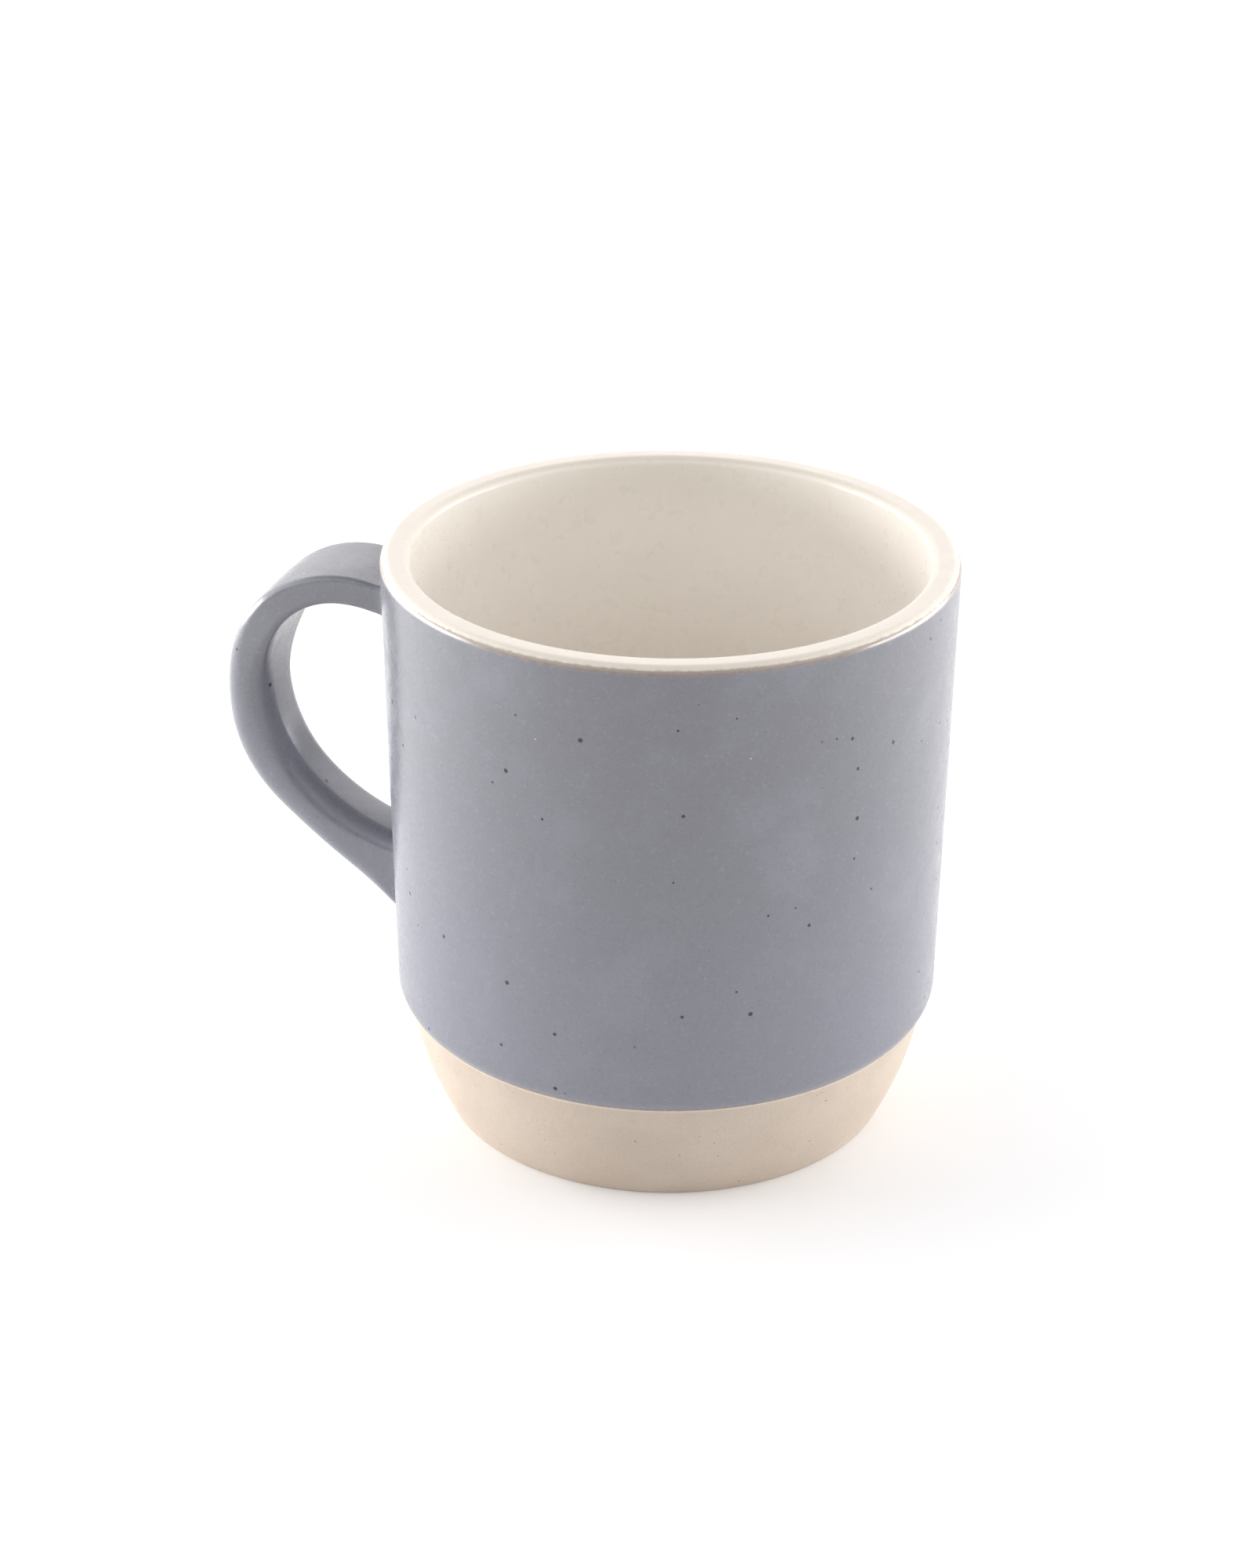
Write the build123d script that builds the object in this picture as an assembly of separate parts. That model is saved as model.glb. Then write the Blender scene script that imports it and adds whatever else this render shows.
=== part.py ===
"""A stoneware mug: clay cup, strap handle, slip joints and three coats of glaze.

Millimetres. The mug stands on z = 0, the cup's axis is Z, and the handle points along -X.
"""

import os
from math import cos, radians, sin, tan

from build123d import *

# Cup, measured over the glaze
height = 94.3
rim_radius = 45.0
lip_thickness = 4.6
lip_outer_rounding = 1.5
lip_inner_rounding = 1.4
wall_taper = 1.0
inner_taper = 1.4
glaze = 0.4

# Shoulder, where the wall turns in to the bare foot
shoulder_radius = 4.0
shoulder_lean = 48.0
glaze_line_height = 18.9

# Foot and floor
foot_radius = 36.0
foot_top_lean = 7.0
foot_edge_radius = 0.5
foot_ring_width = 4.5
recess_depth = 1.5
recess_slope = 1.5
inner_floor_height = 6.5
floor_corner_radius = 15.0

# Where the two glazes meet, as an angle round the lip's outer rounding from its top
lip_glaze_angle = 56.0

# Handle, measured over the glaze; its side view is two chains of tangent arcs, in (distance from the axis, height)
handle_top = 86.4
handle_outer_arcs = [(68.1, 78.6), (73.8, 61.0), (65.7, 43.0), (52.9, 32.6), (42.0, 23.0)]
handle_inner_top = 81.2
handle_inner_arcs = [(63.2, 74.9), (65.9, 63.0), (59.7, 48.6), (47.6, 40.6), (38.0, 36.6)]
handle_apex = 52.5
handle_root = 40.0
handle_outer_root = 82.2
handle_inner_root = 77.0
handle_widths = [(17.4, 92.0), (12.6, 58.0), (11.0, 16.0)]
handle_edge_radius = 1.9
slip_thickness = 0.8

# Derived places
lip_centre = (rim_radius - lip_outer_rounding, height - lip_outer_rounding)
shoulder_centre_height = glaze_line_height + shoulder_radius * sin(radians(shoulder_lean))


def wall_radius(z, skin=0.0):
    """Radius of the outer wall's line at height z, moved inwards by skin."""
    return rim_radius - (height - z) * tan(radians(wall_taper)) - skin / cos(radians(wall_taper))


def inner_radius(z, skin=0.0):
    """Radius of the inner wall's line at height z, with the cavity made wider by skin."""
    lip_inside = rim_radius - lip_thickness
    return lip_inside - (height - z) * tan(radians(inner_taper)) + skin / cos(radians(inner_taper))


def on_shoulder(radius, lean):
    """Point of the shoulder's arc where the surface leans by lean degrees from upright."""
    tangent_height = shoulder_centre_height - shoulder_radius * sin(radians(wall_taper))
    centre = wall_radius(tangent_height) - shoulder_radius * cos(radians(wall_taper))
    return (
        centre + radius * cos(radians(lean)),
        shoulder_centre_height - radius * sin(radians(lean)),
    )


def cup_section(skin):
    """Half section of the cup, with every glazed surface moved inwards by skin."""
    crest = height - skin
    outer_lip = (wall_radius(crest, skin), crest)
    inner_lip = (inner_radius(crest, skin), crest)
    wall_end = on_shoulder(shoulder_radius - skin, wall_taper)
    shoulder_middle = on_shoulder(shoulder_radius - skin, (wall_taper + shoulder_lean) / 2)
    shoulder_end = on_shoulder(shoulder_radius - skin, shoulder_lean)
    foot_top = on_shoulder(shoulder_radius - glaze, shoulder_lean)
    foot_direction = (-sin(radians(foot_top_lean)), -cos(radians(foot_top_lean)))
    ring_inner = foot_radius - foot_ring_width
    floor = inner_floor_height - skin
    wall_foot = (inner_radius(floor, skin), floor)

    edges = [
        Line(outer_lip, wall_end),
        ThreePointArc(wall_end, shoulder_middle, shoulder_end),
        TangentArc(foot_top, (foot_radius, 0), tangent=foot_direction),
        Line((foot_radius, 0), (ring_inner, 0)),
        Line((ring_inner, 0), (ring_inner - recess_slope, recess_depth)),
        Line((ring_inner - recess_slope, recess_depth), (0, recess_depth)),
        Line((0, recess_depth), (0, floor)),
        Line((0, floor), wall_foot),
        Line(wall_foot, inner_lip),
        Line(inner_lip, outer_lip),
    ]
    if skin < glaze:
        edges.append(Line(shoulder_end, foot_top))
    section = make_face(Wire(edges))
    corners = {
        (foot_radius, 0): foot_edge_radius,
        wall_foot: floor_corner_radius + skin,
        outer_lip: lip_outer_rounding - skin,
        inner_lip: lip_inner_rounding - skin,
    }
    for corner, rounding in corners.items():
        nearest = section.vertices().sort_by_distance(corner)[0]
        section = fillet(nearest, rounding)
    return section


def turned(section):
    """Solid made by turning a half section about the cup's axis."""
    return revolve(Plane.XZ * section, Axis.Z)


def wall_cone(skin):
    """Everything inside the outer wall's line moved inwards by skin, from the foot up to the lip."""
    corners = [
        (0, 0),
        (wall_radius(0, skin), 0),
        (wall_radius(height, skin), height),
        (0, height),
    ]
    return turned(make_face(Polyline(*corners, close=True)))


def outside_of_lip():
    """Half section of the space outside the middle of the wall, up to where the two glazes meet."""
    far = 2 * rim_radius
    angle = radians(lip_glaze_angle)
    low = glaze_line_height - 2 * glaze
    middle_of_wall = (wall_radius(low) + inner_radius(low)) / 2
    corners = [
        lip_centre,
        (lip_centre[0] + far * sin(angle), lip_centre[1] + far * cos(angle)),
        (2 * far, low),
        (middle_of_wall, low),
    ]
    return make_face(Polyline(*corners, close=True))


def arc_chain(start, direction, ends):
    """Arcs through the given ends, each tangent to the one before it."""
    arcs = []
    for end in ends:
        arc = TangentArc(start, end, tangent=direction)
        arcs.append(arc)
        start = end
        direction = arc % 1
    return arcs


def handle_side(skin):
    """Side view of the handle, run on into the wall, moved inwards by skin."""
    outer_apex = (handle_apex, handle_top)
    inner_apex = (handle_apex, handle_inner_top)
    outer_root = (handle_root, handle_outer_root)
    inner_root = (handle_root, handle_inner_root)
    outer = arc_chain(outer_apex, (1, 0), handle_outer_arcs)
    inner = arc_chain(inner_apex, (1, 0), handle_inner_arcs)
    edges = [
        TangentArc(outer_apex, outer_root, tangent=(-1, 0)),
        *outer,
        Line(handle_outer_arcs[-1], handle_inner_arcs[-1]),
        *inner,
        TangentArc(inner_apex, inner_root, tangent=(-1, 0)),
        Line(inner_root, outer_root),
    ]
    side = make_face(Wire(edges))
    return offset(side, amount=-skin) if skin else side


def handle_front(skin):
    """View of the handle along X: wide at the top and narrow below, moved inwards by skin."""
    right = [(width / 2, z) for width, z in handle_widths]
    left = [(-y, z) for y, z in right]
    edges = [
        ThreePointArc(*right),
        Line(right[-1], left[-1]),
        ThreePointArc(*left),
        Line(left[0], right[0]),
    ]
    front = make_face(Wire(edges))
    return offset(front, amount=-skin) if skin else front


def handle_solid(skin):
    """The handle run on into the wall, with rounded edges, every surface moved inwards by skin."""
    side = Plane.XZ * mirror(handle_side(skin), Plane.YZ)
    front = Plane.YZ * handle_front(skin)
    strap = extrude(side, amount=rim_radius, both=True) & extrude(front, amount=-2 * rim_radius)
    outside_wall = -(handle_root + 2 * glaze)
    long_edges = [
        edge
        for edge in strap.edges()
        if edge.center().X < outside_wall and abs(edge.center().Y) > handle_edge_radius
    ]
    return fillet(long_edges, handle_edge_radius - skin)


def main():
    os.makedirs("parts", exist_ok=True)
    glazed_section = cup_section(0.0)
    clay_section = cup_section(glaze)
    coat_section = glazed_section - clay_section
    outer_coat_section = coat_section & outside_of_lip()
    liner_section = coat_section - outside_of_lip()

    clay_handle = handle_solid(glaze)
    glazed_handle = handle_solid(0.0)
    clay_cone = wall_cone(glaze)
    slip_cone = wall_cone(glaze - slip_thickness)

    slip = clay_handle & (slip_cone - clay_cone)
    lower_slip, upper_slip = slip.solids().sort_by(Axis.Z)

    parts = {
        "cup_body": turned(clay_section),
        "handle": clay_handle - slip_cone,
        "upper_slip_joint": upper_slip,
        "lower_slip_joint": lower_slip,
        "outer_glaze": turned(outer_coat_section) - clay_handle,
        "handle_glaze": glazed_handle - clay_handle - wall_cone(0.0),
        "liner_glaze": turned(liner_section),
    }
    for name, shape in parts.items():
        export_step(shape, f"parts/{name}.step")


if __name__ == "__main__":
    main()
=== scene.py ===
"""Finish model of a stoneware mug: clay, glazes and a small white studio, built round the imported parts."""

from math import asin, atan2, cos, hypot, pi, radians, sin, tan

import bmesh
import bpy
from mathutils import Matrix, Vector


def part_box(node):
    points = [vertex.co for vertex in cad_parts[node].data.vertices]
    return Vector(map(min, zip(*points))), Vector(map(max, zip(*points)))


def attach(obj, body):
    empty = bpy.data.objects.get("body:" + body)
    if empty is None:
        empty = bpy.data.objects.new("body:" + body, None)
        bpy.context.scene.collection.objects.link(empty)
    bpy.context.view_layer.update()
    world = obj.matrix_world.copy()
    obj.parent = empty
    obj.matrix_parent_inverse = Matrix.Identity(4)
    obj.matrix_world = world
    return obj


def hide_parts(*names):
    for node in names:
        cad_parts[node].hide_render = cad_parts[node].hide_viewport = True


bl_info = {
    "name": "Stoneware Mug",
    "version": (1, 0, 0),
    "blender": (4, 5, 0),
    "location": "View3D > Sidebar > Mug",
    "description": "Models the clay, the glazes and the studio of a stoneware mug piece by piece",
    "category": "Add Mesh",
}

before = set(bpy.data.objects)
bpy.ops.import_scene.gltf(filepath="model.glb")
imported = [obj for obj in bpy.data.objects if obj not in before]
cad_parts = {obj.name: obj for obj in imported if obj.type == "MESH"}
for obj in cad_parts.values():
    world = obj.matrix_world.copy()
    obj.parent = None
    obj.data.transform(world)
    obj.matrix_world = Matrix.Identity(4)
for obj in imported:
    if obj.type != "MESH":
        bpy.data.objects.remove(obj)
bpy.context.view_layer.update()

MM = 0.001
BODY = "root"
TURN_STEPS = 256

# How far the backs of the coats reach into the clay, so that no gap shows
COAT_SINK = 0.02 * MM

# How far the handle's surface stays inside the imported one, so that its crowned faces don't reach past it
HANDLE_TRIM = 0.08 * MM

# Low softboxes: how far round from the camera, how far from the mug, how high, where they point, how large
LEFT_SOFTBOX_ANGLE = radians(-105)
RIGHT_SOFTBOX_ANGLE = radians(101)
SOFTBOX_DISTANCE = 0.65
SOFTBOX_HEIGHT = 0.11
SOFTBOX_AIM_HEIGHT = 0.06
SOFTBOX_SIZE = (0.6, 0.2)

# Studio walls: how far round from the camera the front light fades out and the low light behind comes up
FRONT_FADE = radians(75)
BACK_FADE = (radians(80), radians(170))

# Studio heights, as the upward part of a direction: where the low band gives way and where the ceiling starts
LOW_BAND = (0.10, 0.45)
CEILING = (0.50, 0.90)

TABLE_RADIUS = 8.0
TABLE_EDGE = 0.5

# Side view of the handle over its glaze: ends of tangent arcs, as distance from the axis and height
HANDLE_OUTER_TOP = (52.5 * MM, 86.4 * MM)
HANDLE_OUTER_ROOT = (40.0 * MM, 82.2 * MM)
HANDLE_OUTER = [
    (68.1 * MM, 78.6 * MM),
    (73.8 * MM, 61.0 * MM),
    (65.7 * MM, 43.0 * MM),
    (52.9 * MM, 32.6 * MM),
    (42.0 * MM, 23.0 * MM),
]
HANDLE_INNER_TOP = (52.5 * MM, 81.2 * MM)
HANDLE_INNER_ROOT = (40.0 * MM, 77.0 * MM)
HANDLE_INNER = [
    (63.2 * MM, 74.9 * MM),
    (65.9 * MM, 63.0 * MM),
    (59.7 * MM, 48.6 * MM),
    (47.6 * MM, 40.6 * MM),
    (38.0 * MM, 36.6 * MM),
]


# ---------------------------------------------------------------- settings


class MugCupSettings(bpy.types.PropertyGroup):
    """Sizes of the cup, measured over the glaze."""

    height: bpy.props.FloatProperty(
        name="Height", description="From the table to the crest of the lip",
        default=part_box("liner_glaze")[1].z, unit="LENGTH")
    rim_radius: bpy.props.FloatProperty(
        name="Rim radius", description="From the axis to the outside of the lip",
        default=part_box("outer_glaze")[1].x, unit="LENGTH")
    lip_thickness: bpy.props.FloatProperty(
        name="Lip thickness", description="Wall at the lip",
        default=4.6 * MM, unit="LENGTH")
    lip_outer_rounding: bpy.props.FloatProperty(
        name="Lip outer rounding", description="Rounding of the lip on the outside",
        default=1.5 * MM, unit="LENGTH")
    lip_inner_rounding: bpy.props.FloatProperty(
        name="Lip inner rounding", description="Rounding of the lip on the inside",
        default=1.4 * MM, unit="LENGTH")
    wall_taper: bpy.props.FloatProperty(
        name="Wall taper", description="Lean of the outer wall from upright",
        default=radians(1.0), subtype="ANGLE")
    inner_taper: bpy.props.FloatProperty(
        name="Inner taper", description="Lean of the inner wall from upright",
        default=radians(1.4), subtype="ANGLE")
    shoulder_radius: bpy.props.FloatProperty(
        name="Shoulder radius", description="Rounding where the wall turns in to the foot",
        default=4.0 * MM, unit="LENGTH")
    shoulder_lean: bpy.props.FloatProperty(
        name="Shoulder lean", description="Lean of the shoulder where the glaze ends",
        default=radians(48.0), subtype="ANGLE")
    glaze_line: bpy.props.FloatProperty(
        name="Glaze line", description="Height of the lower edge of the outer glaze",
        default=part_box("outer_glaze")[0].z, unit="LENGTH")
    foot_radius: bpy.props.FloatProperty(
        name="Foot radius", description="Outer radius of the ring that the mug stands on",
        default=36.0 * MM, unit="LENGTH")
    foot_top_lean: bpy.props.FloatProperty(
        name="Foot top lean", description="Lean of the bare foot just under the glaze",
        default=radians(7.0), subtype="ANGLE")
    foot_edge: bpy.props.FloatProperty(
        name="Foot edge", description="Rounding of the foot's edge",
        default=0.5 * MM, unit="LENGTH")
    foot_ring: bpy.props.FloatProperty(
        name="Foot ring width", description="Width of the flat ring under the foot",
        default=4.5 * MM, unit="LENGTH")
    recess: bpy.props.FloatProperty(
        name="Recess", description="Depth of the hollow under the foot",
        default=1.5 * MM, unit="LENGTH")
    floor_height: bpy.props.FloatProperty(
        name="Floor height", description="Height of the glazed floor inside the cup",
        default=6.5 * MM, unit="LENGTH")
    floor_corner: bpy.props.FloatProperty(
        name="Floor corner", description="Rounding between the inner wall and the floor",
        default=15.0 * MM, unit="LENGTH")
    glaze: bpy.props.FloatProperty(
        name="Glaze thickness", description="Thickness of each coat of glaze",
        default=0.4 * MM, unit="LENGTH")
    lip_glaze_angle: bpy.props.FloatProperty(
        name="Lip glaze angle", description="Where the two glazes meet, as an angle above level",
        default=radians(34.0), subtype="ANGLE")


class MugHandleSettings(bpy.types.PropertyGroup):
    """Section of the handle over its glaze, from the upper joint to the lower one."""

    widths: bpy.props.FloatVectorProperty(
        name="Widths", description="Width at the upper joint, past the bend, half way, on the leg and below",
        default=(15.4 * MM, 17.6 * MM, 13.4 * MM, 12.6 * MM, 11.4 * MM), size=5, unit="LENGTH")
    roundings: bpy.props.FloatVectorProperty(
        name="Roundings", description="Radius of the long edges at the same five places",
        default=(0.8 * MM, 1.3 * MM, 3.5 * MM, 3.4 * MM, 2.8 * MM), size=5, unit="LENGTH")
    crowns: bpy.props.FloatVectorProperty(
        name="Crowns", description="Bulge of the broad faces at the same five places",
        default=(0.13 * MM, 0.15 * MM, 0.25 * MM, 0.3 * MM, 0.25 * MM), size=5, unit="LENGTH")
    blend: bpy.props.FloatProperty(
        name="Joint blend", description="Radius of the wiped joints between handle and wall",
        default=1.8 * MM, unit="LENGTH")


class MugFinishSettings(bpy.types.PropertyGroup):
    """Colours of the clay and the glazes."""

    # The outer glaze's colour is lighter and bluer low down and darker and greyer near the lip; the two
    # colours below set this change.
    blue: bpy.props.FloatVectorProperty(
        name="Blue glaze", description="Satin grey-blue of the outside, low down where it has run thicker",
        default=(0.201, 0.205, 0.243), subtype="COLOR", size=3)
    blue_high: bpy.props.FloatVectorProperty(
        name="Blue glaze, high", description="The same glaze under the lip, where it is greyer",
        default=(0.180, 0.181, 0.206), subtype="COLOR", size=3)
    fringe: bpy.props.FloatVectorProperty(
        name="Fringe", description="Where the two glazes run together on the lip",
        default=(0.34, 0.28, 0.235), subtype="COLOR", size=3)
    ivory: bpy.props.FloatVectorProperty(
        name="Ivory glaze", description="Liner glaze inside the cup",
        default=(0.895, 0.847, 0.78), subtype="COLOR", size=3)
    ivory_thin: bpy.props.FloatVectorProperty(
        name="Ivory glaze, thin", description="Where the liner glaze lies thin over the lip",
        default=(0.75, 0.685, 0.605), subtype="COLOR", size=3)
    clay: bpy.props.FloatVectorProperty(
        name="Clay", description="Bare fired clay",
        default=(0.575, 0.49, 0.41), subtype="COLOR", size=3)
    clay_grain: bpy.props.FloatVectorProperty(
        name="Clay grain", description="Darker grains of the clay",
        default=(0.44, 0.36, 0.29), subtype="COLOR", size=3)
    speck: bpy.props.FloatVectorProperty(
        name="Iron specks", description="Iron that bleeds through the glaze",
        default=(0.022, 0.020, 0.022), subtype="COLOR", size=3)


class MugStageSettings(bpy.types.PropertyGroup):
    """Camera and light."""

    aim: bpy.props.FloatVectorProperty(
        name="Aim", description="Point that the camera looks at",
        default=(-6.3 * MM, -1.8 * MM, 53.9 * MM), size=3, subtype="XYZ", unit="LENGTH")
    camera_turn: bpy.props.FloatProperty(
        name="Camera turn", description="How far round from the front the camera stands",
        default=radians(16.96), subtype="ANGLE")
    camera_height: bpy.props.FloatProperty(
        name="Camera height", description="How steeply the camera looks down",
        default=radians(25.99), subtype="ANGLE")
    camera_roll: bpy.props.FloatProperty(
        name="Camera roll", description="How far the camera leans",
        default=radians(0.295), subtype="ANGLE")
    camera_distance: bpy.props.FloatProperty(
        name="Camera distance", description="From the camera to the point that it looks at",
        default=551.3 * MM, unit="LENGTH")
    lens: bpy.props.FloatProperty(
        name="Lens", description="Focal length on a frame 36 mm tall",
        default=79.2, unit="CAMERA")
    front_light: bpy.props.FloatProperty(
        name="Front light", description="Brightness at half height on the camera's side", default=1.0)
    side_light: bpy.props.FloatProperty(
        name="Side light", description="Brightness at half height on the other sides", default=2.0)
    low_light: bpy.props.FloatProperty(
        name="Low light", description="Brightness near the table behind the mug; dark elsewhere there",
        default=1.3)
    top_light: bpy.props.FloatProperty(
        name="Top light", description="Brightness of the studio overhead", default=0.5)
    left_softbox: bpy.props.FloatProperty(
        name="Left softbox", description="Power of the low softbox on the left", default=5.6, unit="POWER")
    right_softbox: bpy.props.FloatProperty(
        name="Right softbox", description="Power of the low softbox on the right", default=3.8, unit="POWER")


# ---------------------------------------------------------------- shape of the mug


def outer_lip_centre():
    """Centre of the lip's outer rounding, as distance from the axis and height."""
    size = bpy.context.scene.mug_cup
    return size.rim_radius - size.lip_outer_rounding, size.height - size.lip_outer_rounding


def wall_radius(z):
    """Outer radius of the glazed wall at height z, on the straight line below the lip's outer rounding."""
    size = bpy.context.scene.mug_cup
    centre = outer_lip_centre()
    taper = size.wall_taper
    return centre[0] + size.lip_outer_rounding / cos(taper) - (centre[1] - z) * tan(taper)


def inner_radius(z):
    """Inner radius of the glazed wall at height z."""
    size = bpy.context.scene.mug_cup
    return wall_radius(size.height) - size.lip_thickness - (size.height - z) * tan(size.inner_taper)


def inner_lip_centre():
    """Centre of the lip's inner rounding, as distance from the axis and height."""
    size = bpy.context.scene.mug_cup
    z = size.height - size.lip_inner_rounding
    return inner_radius(z) + size.lip_inner_rounding / cos(size.inner_taper), z


def shoulder_centre():
    """Centre of the shoulder's rounding, as distance from the axis and height."""
    size = bpy.context.scene.mug_cup
    z = size.glaze_line + size.shoulder_radius * sin(size.shoulder_lean)
    tangent_z = z - size.shoulder_radius * sin(size.wall_taper)
    return wall_radius(tangent_z) - size.shoulder_radius * cos(size.wall_taper), z


def round_points(centre, radius, start, end, steps):
    """Points of an arc about a centre, from the start angle to the end angle above level."""
    angles = [start + (end - start) * step / steps for step in range(steps + 1)]
    return [(centre[0] + radius * cos(angle), centre[1] + radius * sin(angle)) for angle in angles]


def straight_points(start, end, steps):
    """Points from start to end, both included."""
    return [
        (start[0] + (end[0] - start[0]) * step / steps, start[1] + (end[1] - start[1]) * step / steps)
        for step in range(steps + 1)
    ]


def on_arc(start, heading, end, fraction):
    """Point and heading part of the way along the arc that leaves start along heading and reaches end."""
    first = atan2(heading[1], heading[0])
    chord = (end[0] - start[0], end[1] - start[1])
    turn = 2 * (atan2(chord[1], chord[0]) - first)
    turn = (turn + 2 * pi) % (4 * pi) - 2 * pi
    part = turn * fraction
    reach = hypot(*chord) * sin(part / 2) / sin(turn / 2)
    lean = first + part / 2
    point = (start[0] + reach * cos(lean), start[1] + reach * sin(lean))
    return point, (cos(first + part), sin(first + part))


def outside_profile(skin):
    """Outside of the cup from the meeting of the glazes to the shoulder's end, moved inwards by skin."""
    size = bpy.context.scene.mug_cup
    lip = round_points(
        outer_lip_centre(), size.lip_outer_rounding - skin, size.lip_glaze_angle, -size.wall_taper, 8)
    shoulder = round_points(
        shoulder_centre(), size.shoulder_radius - skin, -size.wall_taper, -size.shoulder_lean, 10)
    return lip + straight_points(lip[-1], shoulder[0], 30)[1:-1] + shoulder


def bead_profile():
    """Rounded bead in which the outer glaze ends on the shoulder."""
    size = bpy.context.scene.mug_cup
    rounding = size.glaze / 2
    end = -size.shoulder_lean
    centre = round_points(shoulder_centre(), size.shoulder_radius - rounding, end, end, 1)[0]
    return round_points(centre, rounding, end, end - pi, 8)[1:-1]


def inside_profile(skin):
    """From the meeting of the glazes over the lip to the floor's middle, set into the clay by skin."""
    size = bpy.context.scene.mug_cup
    taper = size.inner_taper
    outer_lip = round_points(
        outer_lip_centre(), size.lip_outer_rounding - skin, size.lip_glaze_angle, pi / 2, 8)
    inner_lip = round_points(
        inner_lip_centre(), size.lip_inner_rounding - skin, pi / 2, pi - taper, 10)
    lip = outer_lip + straight_points(outer_lip[-1], inner_lip[0], 4)[1:-1] + inner_lip
    rounding = size.floor_corner + skin
    corner_z = size.floor_height - skin + rounding
    corner_r = inner_radius(corner_z) + (skin - rounding) / cos(taper)
    corner = round_points((corner_r, corner_z), rounding, -taper, -pi / 2, 16)
    wall = straight_points(lip[-1], corner[0], 24)[1:-1]
    floor = straight_points(corner[-1], (0, size.floor_height - skin), 6)[1:]
    return lip + wall + corner + floor


def foot_profile():
    """Bare clay from under the outer glaze to the middle of the base."""
    size = bpy.context.scene.mug_cup
    top = round_points(shoulder_centre(), size.shoulder_radius - size.glaze, -size.shoulder_lean, 0, 1)[0]
    heading = (-sin(size.foot_top_lean), -cos(size.foot_top_lean))
    base = (size.foot_radius, 0)
    lean = asin(-on_arc(top, heading, base, 1)[1][0])
    edge_centre = (size.foot_radius - size.foot_edge * tan(pi / 4 - lean / 2), size.foot_edge)
    edge = round_points(edge_centre, size.foot_edge, -lean, -pi / 2, 5)
    flank = [on_arc(top, heading, base, step / 20)[0] for step in range(1, 20)]
    flank = [point for point in flank if point[1] > edge[0][1]]
    ring_inner = size.foot_radius - size.foot_ring
    hollow = (ring_inner - size.recess, size.recess)
    return flank + edge + [(ring_inner, 0)] + straight_points(hollow, (0, size.recess), 5)


# ---------------------------------------------------------------- hand work


def start_piece(name):
    """Adds a small plane in edit mode as the start of a new piece, with everything else deselected."""
    if bpy.context.mode != "OBJECT":
        bpy.ops.object.mode_set(mode="OBJECT")
    bpy.ops.object.select_all(action="DESELECT")
    bpy.ops.mesh.primitive_plane_add(size=MM, location=(0, 0, 0))
    piece = bpy.context.object
    piece.name = name
    piece.data.name = name
    bpy.ops.object.mode_set(mode="EDIT")
    return piece


def draw_profile(points):
    """Shrinks the starting plane to a vertex at the first point and extrudes it through the rest."""
    bpy.ops.mesh.merge(type="CENTER")
    bpy.ops.transform.translate(value=(points[0][0], 0, points[0][1]))
    for here, there in zip(points, points[1:]):
        step = (there[0] - here[0], 0, there[1] - here[1])
        bpy.ops.mesh.extrude_vertices_move(TRANSFORM_OT_translate={"value": step})


def turn_on_wheel():
    """Spins the profile into a round piece and closes its seam and poles."""
    bpy.ops.mesh.select_all(action="SELECT")
    bpy.ops.mesh.spin(steps=TURN_STEPS, angle=2 * pi, center=(0, 0, 0), axis=(0, 0, 1))
    bpy.ops.mesh.select_all(action="SELECT")
    bpy.ops.mesh.remove_doubles(threshold=0.005 * MM)
    bpy.ops.mesh.normals_make_consistent(inside=False)


def finish_piece(piece, material, replaced, smooth_angle=40):
    """Leaves edit mode, shades the piece, gives it its finish and puts it in the frame."""
    bpy.ops.object.mode_set(mode="OBJECT")
    bpy.ops.object.shade_smooth_by_angle(angle=radians(smooth_angle))
    piece.data.materials.clear()
    piece.data.materials.append(material)
    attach(piece, BODY)
    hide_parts(replaced)


def between(knots, place):
    """Value at a place from 0 to 1 along the handle, eased between evenly spread knots."""
    spot = max(0.0, min(0.9999, place)) * (len(knots) - 1)
    index = int(spot)
    part = spot - index
    ease = part * part * (3 - 2 * part)
    return knots[index] + (knots[index + 1] - knots[index]) * ease


# ---------------------------------------------------------------- handle


def handle_rail(top, root, ends):
    """One side of the handle as a list of arcs: from the top back to the root, then from the top down."""
    rail = [(top, (-1, 0), root)]
    heading = (1, 0)
    here = top
    for end in ends:
        rail.append((here, heading, end))
        heading = on_arc(here, heading, end, 1)[1]
        here = end
    return rail


def wall_crossing(arc, clearance):
    """How far along an arc it comes within a clearance of the wall."""
    low, high = 0.0, 1.0
    for _ in range(40):
        middle = (low + high) / 2
        radius, z = on_arc(*arc, middle)[0]
        if radius > wall_radius(z) + clearance:
            low = middle
        else:
            high = middle
    return low


def handle_rungs(clearance):
    """Pairs of outer and inner points down the handle, from wall to wall."""
    outer = handle_rail(HANDLE_OUTER_TOP, HANDLE_OUTER_ROOT, HANDLE_OUTER)
    inner = handle_rail(HANDLE_INNER_TOP, HANDLE_INNER_ROOT, HANDLE_INNER)
    counts = [4, 8, 8, 8, 7, 5]
    rungs = []
    for number, count in enumerate(counts):
        ends = [1.0, 1.0]
        if number in (0, len(counts) - 1):
            ends = [wall_crossing(rail[number], clearance) for rail in (outer, inner)]
        steps = range(count + 1) if number == 0 else range(1, count + 1)
        part = [
            tuple(on_arc(*rail[number], end * step / count)[0] for rail, end in zip((outer, inner), ends))
            for step in steps
        ]
        rungs += part[::-1] if number == 0 else part
    return rungs


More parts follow.
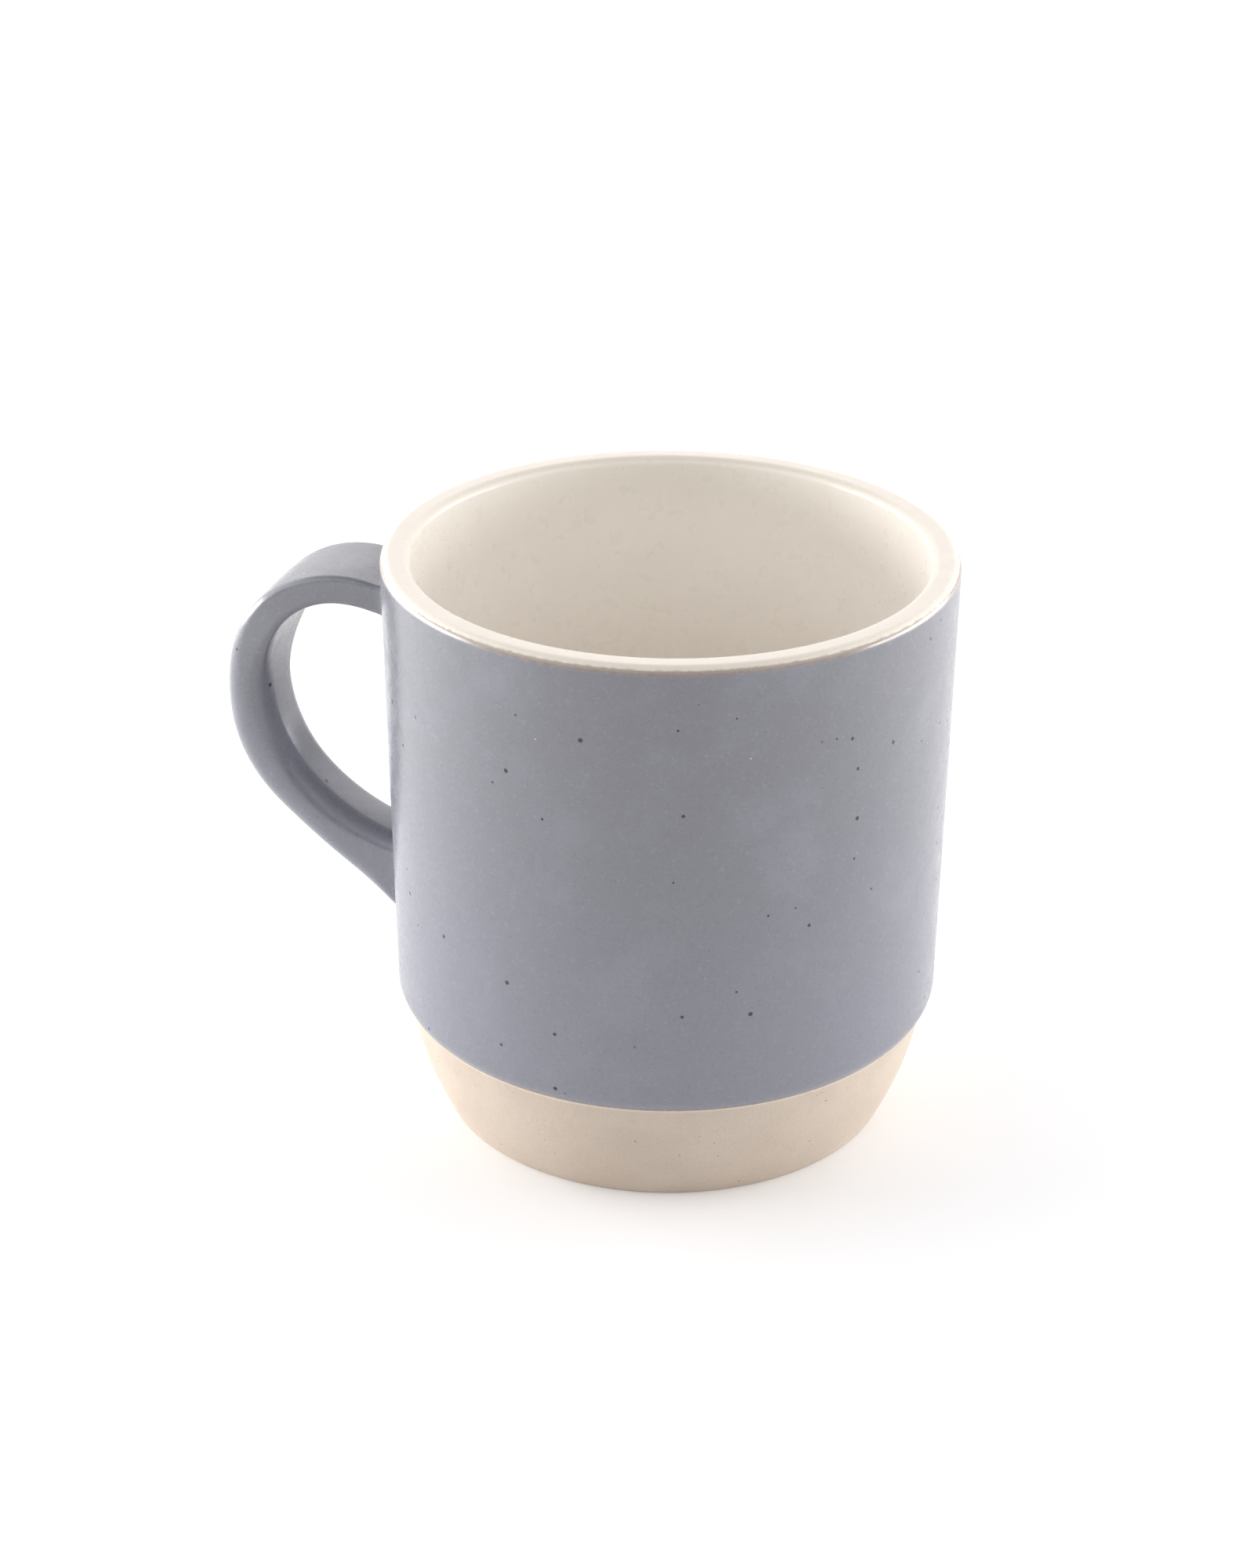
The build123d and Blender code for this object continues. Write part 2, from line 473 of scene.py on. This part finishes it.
def flare_rungs(end, blend, sink):
    """Rungs of the wiped joint at one end, from clear of the wall down into it, with how far each spreads."""
    number = 0 if end == "upper" else 5
    outer = handle_rail(HANDLE_OUTER_TOP, HANDLE_OUTER_ROOT, HANDLE_OUTER)[number]
    inner = handle_rail(HANDLE_INNER_TOP, HANDLE_INNER_ROOT, HANDLE_INNER)[number]
    flares = []
    for step in range(1, 7):
        angle = pi / 2 * step / 6
        clearance = blend * (1 - sin(angle))
        flares.append((clearance, blend * (1 - cos(angle))))
    flares.append((-sink, blend * 1.35))
    rungs = []
    for clearance, spread in flares:
        points = [on_arc(*arc, wall_crossing(arc, clearance))[0] for arc in (outer, inner)]
        rungs.append((points, clearance, spread))
    return rungs


def mark_new(mesh, layer, number):
    """Numbers the vertices that have no number yet."""
    for vertex in mesh.verts:
        if vertex[layer] == 0:
            vertex[layer] = number


def select_where(mesh, test):
    """Selects the vertices that pass a test, and the edges and faces between them."""
    for vertex in mesh.verts:
        vertex.select = test(vertex)
    mesh.select_flush_mode()


def add_section(piece, number, outer, inner, width, rounding, crown, first):
    """Adds one section of the strap: a plane across it, its broad faces crowned and its corners rounded."""
    rung = Vector((-(outer[0] - inner[0]), 0, outer[1] - inner[1]))
    out = rung.normalized()
    middle = Vector((-(outer[0] + inner[0]) / 2, 0, (outer[1] + inner[1]) / 2))
    depth = rung.length - 2 * crown
    if not first:
        bpy.ops.mesh.primitive_plane_add(size=MM, location=(0, 0, 0))
    lean = atan2(-out.z, out.x)
    bpy.ops.transform.resize(value=(depth / MM, width / MM, 1), center_override=(0, 0, 0))
    bpy.ops.transform.rotate(value=-lean, orient_axis="Y", center_override=(0, 0, 0))
    bpy.ops.transform.translate(value=middle)

    mesh = bmesh.from_edit_mesh(piece.data)
    layer = mesh.verts.layers.int["section"]

    def is_new(vertex):
        return vertex[layer] == 0

    for side in (1, -1):
        select_where(mesh, lambda v: is_new(v) and (v.co - middle).dot(out) * side > 0.4 * depth)
        bpy.ops.mesh.subdivide(number_cuts=1)
        mesh = bmesh.from_edit_mesh(piece.data)
        layer = mesh.verts.layers.int["section"]
        select_where(
            mesh,
            lambda v: is_new(v)
            and (v.co - middle).dot(out) * side > 0.4 * depth
            and abs(v.co.y) < 0.1 * width)
        bpy.ops.transform.translate(value=out * side * crown * 2)
    select_where(mesh, lambda v: is_new(v) and abs(v.co.y) > 0.4 * width)
    bpy.ops.mesh.bevel(offset=rounding, segments=5, affect="VERTICES", clamp_overlap=False)
    mesh = bmesh.from_edit_mesh(piece.data)
    layer = mesh.verts.layers.int["section"]
    select_where(mesh, lambda v: is_new(v) and abs(v.co.y) < 0.1 * width)
    bpy.ops.mesh.bevel(
        offset=0.9 * (width / 2 - rounding), segments=6, affect="VERTICES", clamp_overlap=False)
    mesh = bmesh.from_edit_mesh(piece.data)
    layer = mesh.verts.layers.int["section"]
    select_where(mesh, is_new)
    bpy.ops.mesh.delete(type="ONLY_FACE")
    mesh = bmesh.from_edit_mesh(piece.data)
    mark_new(mesh, mesh.verts.layers.int["section"], number)


def bend_round_wall(piece, number):
    """Bends a flat section round the cup's wall."""
    mesh = bmesh.from_edit_mesh(piece.data)
    layer = mesh.verts.layers.int["section"]
    for vertex in mesh.verts:
        if vertex[layer] == number:
            radius = abs(vertex.co.x)
            vertex.co.x = -(radius ** 2 - vertex.co.y ** 2) ** 0.5
    bmesh.update_edit_mesh(piece.data)


def join_sections(piece, number):
    """Bridges a section to the one before it."""
    mesh = bmesh.from_edit_mesh(piece.data)
    layer = mesh.verts.layers.int["section"]
    select_where(mesh, lambda v: v[layer] in (number - 1, number))
    for face in mesh.faces:
        face.select = False
    for edge in mesh.edges:
        ends = {vertex[layer] for vertex in edge.verts}
        edge.select = len(ends) == 1 and ends <= {number - 1, number}
    bpy.ops.mesh.bridge_edge_loops()


def build_strap(name, skin, clearance, flared):
    """Models the handle section by section from the upper joint to the lower one, moved inwards by skin."""
    size = bpy.context.scene.mug_handle
    piece = start_piece(name)
    mesh = bmesh.from_edit_mesh(piece.data)
    mesh.verts.layers.int.new("section")
    bmesh.update_edit_mesh(piece.data)

    rungs = [(rung, None, 0.0) for rung in handle_rungs(size.blend if flared else clearance)]
    if flared:
        rungs = flare_rungs("upper", size.blend, 0.15 * MM)[::-1] + rungs
        rungs += flare_rungs("lower", size.blend, 0.15 * MM)
    lengths = [0.0]
    for (here, _, _), (there, _, _) in zip(rungs, rungs[1:]):
        middles = [((rung[0][0] + rung[1][0]) / 2, (rung[0][1] + rung[1][1]) / 2) for rung in (here, there)]
        lengths.append(lengths[-1] + hypot(middles[1][0] - middles[0][0], middles[1][1] - middles[0][1]))

    bpy.context.tool_settings.mesh_select_mode = (True, False, False)
    for number, ((outer, inner), level, spread) in enumerate(rungs, start=1):
        place = lengths[number - 1] / lengths[-1]
        rung = Vector((outer[0] - inner[0], outer[1] - inner[1])).normalized()
        grow = spread - skin
        outer = (outer[0] + rung.x * grow, outer[1] + rung.y * grow)
        inner = (inner[0] - rung.x * grow, inner[1] - rung.y * grow)
        width = between(size.widths, place) + 2 * grow
        rounding = max(0.3 * MM, between(size.roundings, place) + grow)
        crown = between(size.crowns, place)
        add_section(piece, number, outer, inner, width, rounding, crown, first=number == 1)
        if level is not None:
            bend_round_wall(piece, number)
        if number > 1:
            join_sections(piece, number)
    return piece, len(rungs)


def smooth_strap(piece):
    """Recalculates the normals and smooths the strap with a subdivision surface."""
    bpy.ops.mesh.select_all(action="SELECT")
    bpy.ops.mesh.normals_make_consistent(inside=False)
    mesh = bmesh.from_edit_mesh(piece.data)
    mesh.verts.layers.int.remove(mesh.verts.layers.int["section"])
    bmesh.update_edit_mesh(piece.data)
    bpy.ops.object.mode_set(mode="OBJECT")
    smooth = piece.modifiers.new("smooth", "SUBSURF")
    smooth.levels = 2
    smooth.render_levels = 2
    bpy.ops.object.modifier_apply(modifier=smooth.name)


# ---------------------------------------------------------------- finishes


def node(tree, kind, inputs=None, **settings):
    """Adds a shader node, sets it up and links or sets its inputs."""
    made = tree.nodes.new("ShaderNode" + kind)
    for name, value in settings.items():
        setattr(made, name, value)
    for name, value in (inputs or {}).items():
        if isinstance(value, bpy.types.NodeSocket):
            tree.links.new(value, made.inputs[name])
        else:
            made.inputs[name].default_value = value
    return made


def maths(tree, operation, first, second=0.0):
    """Result of a sum on two values or sockets."""
    return node(tree, "Math", {0: first, 1: second}, operation=operation).outputs[0]


def ramp(tree, value, low, high, start=0.0, end=1.0):
    """Value eased from start at low to end at high."""
    inputs = {"Value": value, "From Min": low, "From Max": high, "To Min": start, "To Max": end}
    return node(tree, "MapRange", inputs, interpolation_type="SMOOTHSTEP").outputs[0]


def mixed(tree, factor, first, second):
    """Two colours mixed by a factor."""
    made = tree.nodes.new("ShaderNodeMix")
    made.data_type = "RGBA"
    for index, value in ((0, factor), (6, first), (7, second)):
        if isinstance(value, bpy.types.NodeSocket):
            tree.links.new(value, made.inputs[index])
        elif index == 0:
            made.inputs[index].default_value = value
        else:
            made.inputs[index].default_value = (*value, 1.0)
    return made.outputs[2]


def noise(tree, place, grain, detail=3.0, roughness=0.55):
    """Even noise from 0 to 1 whose patches are about one grain across."""
    inputs = {"Vector": place, "Scale": 1 / grain, "Detail": detail, "Roughness": roughness}
    return node(tree, "TexNoise", inputs).outputs["Fac"]


def specks(tree, place, spacing, radius, softness=0.5):
    """Round specks of mixed sizes, one in each cell of the given spacing."""
    cells = node(tree, "TexVoronoi", {"Vector": place, "Scale": 1 / spacing}, feature="F1")
    chance = node(tree, "SeparateColor", {"Color": cells.outputs["Color"]}).outputs[0]
    edge = maths(tree, "MULTIPLY", ramp(tree, chance, 0.0, 1.0, 0.35, 1.0), radius / spacing)
    inner = maths(tree, "MULTIPLY", edge, 1 - softness)
    return ramp(tree, cells.outputs["Distance"], edge, inner)


def new_finish(name):
    """Material with a bare principled shader; returns it with its tree, shader and object coordinates."""
    material = bpy.data.materials.new(name)
    material.use_nodes = True
    tree = material.node_tree
    shader = tree.nodes["Principled BSDF"]
    place = node(tree, "TexCoord").outputs["Object"]
    return material, tree, shader, place


def set_surface(tree, shader, colour, roughness, height, depth, gloss=1.5):
    """Links colour, roughness and relief of a given depth to a shader with the given index of refraction."""
    shader.inputs["IOR"].default_value = gloss
    bump = node(tree, "Bump", {"Height": height, "Distance": depth, "Strength": 1.0})
    tree.links.new(colour, shader.inputs["Base Color"])
    tree.links.new(roughness, shader.inputs["Roughness"])
    tree.links.new(bump.outputs["Normal"], shader.inputs["Normal"])


def distance_from_axis(tree, place):
    """Distance from the cup's axis and height, as two sockets."""
    parts = node(tree, "SeparateXYZ", {"Vector": place})
    flat = node(tree, "CombineXYZ", {"X": parts.outputs["X"], "Y": parts.outputs["Y"]})
    length = node(tree, "VectorMath", {0: flat.outputs[0]}, operation="LENGTH")
    return length.outputs["Value"], parts.outputs["Z"]


def blue_glaze():
    """Satin blue glaze with specks, pinholes, a brown fringe at the liner and a pale edge on the clay."""
    tones = bpy.context.scene.mug_finish
    size = bpy.context.scene.mug_cup
    material, tree, shader, place = new_finish("satin_blue_glaze")
    z = distance_from_axis(tree, place)[1]
    clouds = noise(tree, place, 14 * MM, detail=4.0)
    grain = noise(tree, place, 0.5 * MM, detail=2.0, roughness=0.7)
    # Colour eased from the darker, greyer blue_high at the lip to blue low down, along a cloud-broken height.
    height = maths(tree, "ADD", z, maths(tree, "MULTIPLY", clouds, 20 * MM))
    low = ramp(tree, height, size.height, size.glaze_line + 10 * MM)
    colour = mixed(tree, low, tones.blue_high, tones.blue)
    thin = [1.14 * channel for channel in tones.blue]
    colour = mixed(tree, ramp(tree, clouds, 0.45, 0.75, 0.0, 0.6), colour, thin)
    darker = [0.80 * channel for channel in tones.blue_high]
    lighter = [1.40 * channel for channel in tones.blue]
    colour = mixed(tree, ramp(tree, grain, 0.42, 0.25, 0.0, 0.7), colour, darker)
    colour = mixed(tree, ramp(tree, grain, 0.58, 0.75, 0.0, 0.7), colour, lighter)
    faint = specks(tree, place, 3.0 * MM, 0.22 * MM, softness=0.8)
    colour = mixed(tree, maths(tree, "MULTIPLY", faint, 0.5), colour, tones.speck)
    iron = specks(tree, place, 4.1 * MM, 0.42 * MM, softness=0.2)
    colour = mixed(tree, iron, colour, tones.speck)
    pinholes = specks(tree, place, 6.5 * MM, 0.17 * MM, softness=0.4)
    colour = mixed(tree, pinholes, colour, tones.ivory)

    ragged = maths(tree, "MULTIPLY", maths(tree, "SUBTRACT", noise(tree, place, 0.9 * MM), 0.5), 0.7 * MM)
    uneven = maths(tree, "ADD", z, ragged)
    lip_level = outer_lip_centre()[1]
    run = ramp(tree, uneven, lip_level - 0.15 * MM, lip_level + 0.75 * MM)
    colour = mixed(tree, run, colour, tones.fringe)
    edge = ramp(tree, z, size.glaze_line + 0.25 * MM, size.glaze_line - 0.15 * MM, 0.0, 0.45)
    colour = mixed(tree, edge, colour, tones.clay)

    roughness = ramp(tree, noise(tree, place, 2.5 * MM), 0.3, 0.7, 0.20, 0.30)
    relief = maths(tree, "ADD", maths(tree, "MULTIPLY", grain, 0.10), noise(tree, place, 5 * MM, detail=1.0))
    relief = maths(tree, "SUBTRACT", relief, maths(tree, "MULTIPLY", pinholes, 0.8))
    set_surface(tree, shader, colour, roughness, relief, 0.02 * MM, gloss=1.65)
    return material


def ivory_glaze():
    """Warm white liner glaze, browner where it ends on the outside of the lip."""
    tones = bpy.context.scene.mug_finish
    size = bpy.context.scene.mug_cup
    material, tree, shader, place = new_finish("ivory_liner_glaze")
    radius, z = distance_from_axis(tree, place)
    clouds = noise(tree, place, 18 * MM, detail=4.0)
    grain = noise(tree, place, 0.6 * MM, detail=2.0)
    lip = ramp(tree, z, size.height - 1.0 * MM, size.height - 0.2 * MM)
    colour = mixed(tree, lip, tones.ivory, tones.ivory_thin)
    clouded = ramp(tree, clouds, 0.3, 0.8, 0.0, 0.15)
    colour = mixed(tree, clouded, colour, tones.ivory_thin)
    colour = mixed(tree, ramp(tree, grain, 0.45, 0.25, 0.0, 0.06), colour, tones.clay)
    faint = specks(tree, place, 5.5 * MM, 0.20 * MM, softness=0.8)
    colour = mixed(tree, maths(tree, "MULTIPLY", faint, 0.12), colour, tones.clay_grain)

    ragged = maths(tree, "MULTIPLY", maths(tree, "SUBTRACT", noise(tree, place, 1.2 * MM), 0.5), 0.4 * MM)
    centre = outer_lip_centre()
    meeting = centre[1] + size.lip_outer_rounding * sin(size.lip_glaze_angle)
    near_edge = ramp(tree, maths(tree, "ADD", z, ragged), meeting + 0.30 * MM, meeting - 0.1 * MM)
    outside = ramp(tree, radius, centre[0] + 0.4 * MM, centre[0] + 0.9 * MM)
    colour = mixed(tree, maths(tree, "MULTIPLY", near_edge, outside), colour, tones.fringe)

    roughness = ramp(tree, noise(tree, place, 3 * MM), 0.3, 0.7, 0.26, 0.36)
    relief = maths(tree, "ADD", maths(tree, "MULTIPLY", grain, 0.2), noise(tree, place, 6 * MM, detail=1.0))
    set_surface(tree, shader, colour, roughness, relief, 0.05 * MM)
    return material


def fired_clay(name, tint):
    """Bare sandy stoneware, its colour times a tint, with a painted highlight in a thin paler line under the
    edge of the glaze, where the clay's ledge catches light.
    """
    tones = bpy.context.scene.mug_finish
    size = bpy.context.scene.mug_cup
    material, tree, shader, place = new_finish(name)
    base = [channel * factor for channel, factor in zip(tones.clay, tint)]
    dark = [channel * factor for channel, factor in zip(tones.clay_grain, tint)]
    clouds = noise(tree, place, 11 * MM, detail=4.0)
    sand = noise(tree, place, 0.35 * MM, detail=3.0, roughness=0.7)
    colour = mixed(tree, ramp(tree, clouds, 0.3, 0.75, 0.0, 0.35), base, dark)
    colour = mixed(tree, ramp(tree, sand, 0.45, 0.25, 0.0, 0.8), colour, dark)
    colour = mixed(tree, ramp(tree, sand, 0.58, 0.78, 0.0, 0.5), colour, [min(1.0, 1.2 * c) for c in base])
    grit = specks(tree, place, 2.4 * MM, 0.26 * MM, softness=0.5)
    colour = mixed(tree, maths(tree, "MULTIPLY", grit, 0.55), colour, [0.35 * c for c in dark])
    z = distance_from_axis(tree, place)[1]
    # Painted highlight: a thin paler line just under the glaze edge, where the clay's ledge catches light.
    line = ramp(tree, z, size.glaze_line - 0.75 * MM, size.glaze_line - 0.35 * MM, 0.0, 0.7)
    colour = mixed(tree, line, colour, [min(1.0, 1.3 * c) for c in base])
    roughness = ramp(tree, sand, 0.2, 0.8, 0.92, 0.74)
    relief = maths(tree, "ADD", sand, maths(tree, "MULTIPLY", noise(tree, place, 1.6 * MM), 0.8))
    relief = maths(tree, "SUBTRACT", relief, maths(tree, "MULTIPLY", grit, 0.6))
    set_surface(tree, shader, colour, roughness, relief, 0.07 * MM)
    return material


def table_paint():
    """Matt white paint of the floor."""
    material, tree, shader, place = new_finish("white_table")
    clouds = noise(tree, place, 300 * MM)
    colour = mixed(tree, clouds, (0.925, 0.922, 0.925), (0.935, 0.932, 0.935))
    set_surface(tree, shader, colour, ramp(tree, clouds, 0.2, 0.8, 0.85, 0.95), clouds, 0.1 * MM)
    return material


# ---------------------------------------------------------------- operators


class MUG_OT_clay_body(bpy.types.Operator):
    """Throw the clay cup: draw its section, spin it and leave the foot bare"""

    bl_idname = "mug.clay_body"
    bl_label = "Clay body"
    bl_options = {"REGISTER", "UNDO"}

    def execute(self, context):
        skin = context.scene.mug_cup.glaze
        piece = start_piece("clay_cup")
        inside = inside_profile(skin)[::-1]
        draw_profile(inside + outside_profile(skin)[1:] + foot_profile())
        turn_on_wheel()
        finish_piece(piece, fired_clay("bare_stoneware", (1, 1, 1)), "cup_body")
        return {"FINISHED"}


class MUG_OT_outer_glaze(bpy.types.Operator):
    """Dip the outside: a thin coat from the lip to the shoulder, with a rounded lower edge"""

    bl_idname = "mug.outer_glaze"
    bl_label = "Outer glaze"
    bl_options = {"REGISTER", "UNDO"}

    def execute(self, context):
        size = context.scene.mug_cup
        piece = start_piece("outer_glaze_coat")
        face = outside_profile(0)
        back = outside_profile(size.glaze + COAT_SINK)[::-1]
        draw_profile(face + bead_profile() + back + face[:1])
        turn_on_wheel()
        finish_piece(piece, blue_glaze(), "outer_glaze")
        return {"FINISHED"}


class MUG_OT_liner_glaze(bpy.types.Operator):
    """Pour the liner: a thin coat over the lip, the inner wall and the floor"""

    bl_idname = "mug.liner_glaze"
    bl_label = "Liner glaze"
    bl_options = {"REGISTER", "UNDO"}

    def execute(self, context):
        size = context.scene.mug_cup
        piece = start_piece("liner_glaze_coat")
        draw_profile(inside_profile(0)[::-1] + inside_profile(size.glaze + COAT_SINK))
        turn_on_wheel()
        finish_piece(piece, ivory_glaze(), "liner_glaze")
        return {"FINISHED"}


class MUG_OT_clay_handle(bpy.types.Operator):
    """Pull the clay handle and fill its two ends"""

    bl_idname = "mug.clay_handle"
    bl_label = "Clay handle"
    bl_options = {"REGISTER", "UNDO"}

    def execute(self, context):
        size = context.scene.mug_cup
        piece, last = build_strap("clay_strap", size.glaze + 0.05 * MM, size.glaze, flared=False)
        for number in (1, last):
            mesh = bmesh.from_edit_mesh(piece.data)
            layer = mesh.verts.layers.int["section"]
            select_where(mesh, lambda v: v[layer] == number)
            bpy.ops.mesh.edge_face_add()
        smooth_strap(piece)
        finish_piece(piece, fired_clay("handle_stoneware", (0.99, 0.98, 0.97)), "handle")
        return {"FINISHED"}


class MUG_OT_handle_glaze(bpy.types.Operator):
    """Glaze the handle and wipe its ends smooth on to the wall"""

    bl_idname = "mug.handle_glaze"
    bl_label = "Handle glaze"
    bl_options = {"REGISTER", "UNDO"}

    def execute(self, context):
        size = context.scene.mug_cup
        piece = build_strap("handle_glaze_coat", HANDLE_TRIM, 0.0, flared=True)[0]
        smooth_strap(piece)
        coat = piece.modifiers.new("coat", "SOLIDIFY")
        coat.thickness = size.glaze
        coat.offset = -1
        bpy.ops.object.modifier_apply(modifier=coat.name)
        finish_piece(piece, bpy.data.materials["satin_blue_glaze"], "handle_glaze")
        return {"FINISHED"}


class MUG_OT_slip_joints(bpy.types.Operator):
    """Give the slip in the two joints its own clay finish"""

    bl_idname = "mug.slip_joints"
    bl_label = "Slip joints"
    bl_options = {"REGISTER", "UNDO"}

    def execute(self, context):
        material = fired_clay("joint_slip", (0.93, 0.90, 0.88))
        for name in ("upper_slip_joint", "lower_slip_joint"):
            for material_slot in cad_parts[name].material_slots:
                material_slot.material = material
        return {"FINISHED"}


class MUG_OT_stage(bpy.types.Operator):
    """Set up the white table, the soft studio light and the camera"""

    bl_idname = "mug.stage"
    bl_label = "Stage"
    bl_options = {"REGISTER", "UNDO"}

    def execute(self, context):
        add_table()
        add_studio()
        add_softboxes()
        add_camera()
        return {"FINISHED"}


def add_table():
    """A large round white table top."""
    bpy.ops.object.select_all(action="DESELECT")
    bpy.ops.mesh.primitive_circle_add(vertices=96, radius=TABLE_RADIUS, fill_type="NGON", location=(0, 0, 0))
    table = bpy.context.object
    table.name = "table"
    bpy.ops.object.mode_set(mode="EDIT")
    bpy.ops.mesh.select_all(action="SELECT")
    bpy.ops.mesh.inset(thickness=TABLE_EDGE)
    bpy.ops.object.mode_set(mode="OBJECT")
    table.data.materials.append(table_paint())


def add_studio():
    """White room: dark near the table except behind the mug, brightest at half height, softer overhead."""
    light = bpy.context.scene.mug_stage
    world = bpy.data.worlds.new("studio")
    bpy.context.scene.world = world
    world.use_nodes = True
    tree = world.node_tree
    way = node(tree, "TexCoord").outputs["Generated"]
    turn = light.camera_turn
    forward = (sin(turn), -cos(turn), 0.0)
    sideways = (cos(turn), sin(turn), 0.0)
    facing = node(tree, "VectorMath", {0: way, 1: forward}, operation="DOT_PRODUCT").outputs["Value"]
    beside = node(tree, "VectorMath", {0: way, 1: sideways}, operation="DOT_PRODUCT").outputs["Value"]
    angle = maths(tree, "ABSOLUTE", maths(tree, "ARCTAN2", beside, facing))
    upward = node(tree, "SeparateXYZ", {"Vector": way}).outputs["Z"]
    middle = ramp(tree, angle, FRONT_FADE, 0.0, light.side_light, light.front_light)
    bottom = ramp(tree, angle, *BACK_FADE, 0.0, light.low_light)
    low = ramp(tree, upward, LOW_BAND[1], LOW_BAND[0])
    high = ramp(tree, upward, *CEILING)
    lowered = maths(tree, "MULTIPLY", low, maths(tree, "SUBTRACT", bottom, middle))
    raised = maths(tree, "MULTIPLY", high, maths(tree, "SUBTRACT", light.top_light, middle))
    strength = maths(tree, "ADD", middle, maths(tree, "ADD", lowered, raised))
    background = tree.nodes["Background"]
    background.inputs["Color"].default_value = (1.0, 0.995, 0.995, 1.0)
    tree.links.new(strength, background.inputs["Strength"])
    bpy.context.scene.view_settings.view_transform = "Standard"


def add_softboxes():
    """Two low, wide softboxes beside the mug and a little behind it, out of the picture."""
    light = bpy.context.scene.mug_stage
    softboxes = (
        ("left_softbox", LEFT_SOFTBOX_ANGLE, light.left_softbox),
        ("right_softbox", RIGHT_SOFTBOX_ANGLE, light.right_softbox),
    )
    for name, round_angle, power in softboxes:
        angle = light.camera_turn + round_angle
        place = Vector((sin(angle) * SOFTBOX_DISTANCE, -cos(angle) * SOFTBOX_DISTANCE, SOFTBOX_HEIGHT))
        aim = (Vector((0, 0, SOFTBOX_AIM_HEIGHT)) - place).to_track_quat("-Z", "Y")
        bpy.ops.object.light_add(type="AREA", location=place, rotation=aim.to_euler())
        softbox = bpy.context.object
        softbox.name = name
        softbox.data.shape = "RECTANGLE"
        softbox.data.size, softbox.data.size_y = SOFTBOX_SIZE
        softbox.data.energy = power
        softbox.visible_camera = False


def add_camera():
    """Camera of the main view."""
    view = bpy.context.scene.mug_stage
    way = Vector((
        sin(view.camera_turn) * cos(view.camera_height),
        -cos(view.camera_turn) * cos(view.camera_height),
        sin(view.camera_height),
    ))
    turn = Matrix.Rotation(view.camera_turn, 4, "Z")
    tilt = Matrix.Rotation(pi / 2 - view.camera_height, 4, "X")
    roll = Matrix.Rotation(view.camera_roll, 4, "Z")
    bpy.ops.object.camera_add()
    camera = bpy.context.object
    camera.name = "camera"
    place = Matrix.Translation(Vector(view.aim) + way * view.camera_distance)
    camera.matrix_world = place @ turn @ tilt @ roll
    camera.data.lens = view.lens
    camera.data.sensor_width = 36.0
    camera.data.clip_start = 0.01
    camera.data.clip_end = 50.0
    bpy.context.scene.camera = camera


class MUG_PT_panel(bpy.types.Panel):
    """Sizes, colours and the operators in their order"""

    bl_idname = "MUG_PT_panel"
    bl_label = "Stoneware Mug"
    bl_space_type = "VIEW_3D"
    bl_region_type = "UI"
    bl_category = "Mug"

    def draw(self, context):
        layout = self.layout
        for title, settings in (
            ("Cup", context.scene.mug_cup),
            ("Handle", context.scene.mug_handle),
            ("Finish", context.scene.mug_finish),
            ("Stage", context.scene.mug_stage),
        ):
            box = layout.box()
            box.label(text=title)
            for name in settings.__annotations__:
                box.prop(settings, name)
        for operator in OPERATORS:
            layout.operator(operator.bl_idname)


SETTINGS = {
    "mug_cup": MugCupSettings,
    "mug_handle": MugHandleSettings,
    "mug_finish": MugFinishSettings,
    "mug_stage": MugStageSettings,
}
OPERATORS = (
    MUG_OT_clay_body,
    MUG_OT_outer_glaze,
    MUG_OT_liner_glaze,
    MUG_OT_clay_handle,
    MUG_OT_handle_glaze,
    MUG_OT_slip_joints,
    MUG_OT_stage,
)


def register():
    for name, settings in SETTINGS.items():
        bpy.utils.register_class(settings)
        setattr(bpy.types.Scene, name, bpy.props.PointerProperty(type=settings))
    for operator in OPERATORS:
        bpy.utils.register_class(operator)
    bpy.utils.register_class(MUG_PT_panel)


def unregister():
    bpy.utils.unregister_class(MUG_PT_panel)
    for operator in reversed(OPERATORS):
        bpy.utils.unregister_class(operator)
    for name, settings in SETTINGS.items():
        delattr(bpy.types.Scene, name)
        bpy.utils.unregister_class(settings)


def main():
    register()
    bpy.ops.mug.clay_body()
    bpy.ops.mug.outer_glaze()
    bpy.ops.mug.liner_glaze()
    bpy.ops.mug.clay_handle()
    bpy.ops.mug.handle_glaze()
    bpy.ops.mug.slip_joints()
    bpy.ops.mug.stage()


if __name__ == "__main__":
    main()
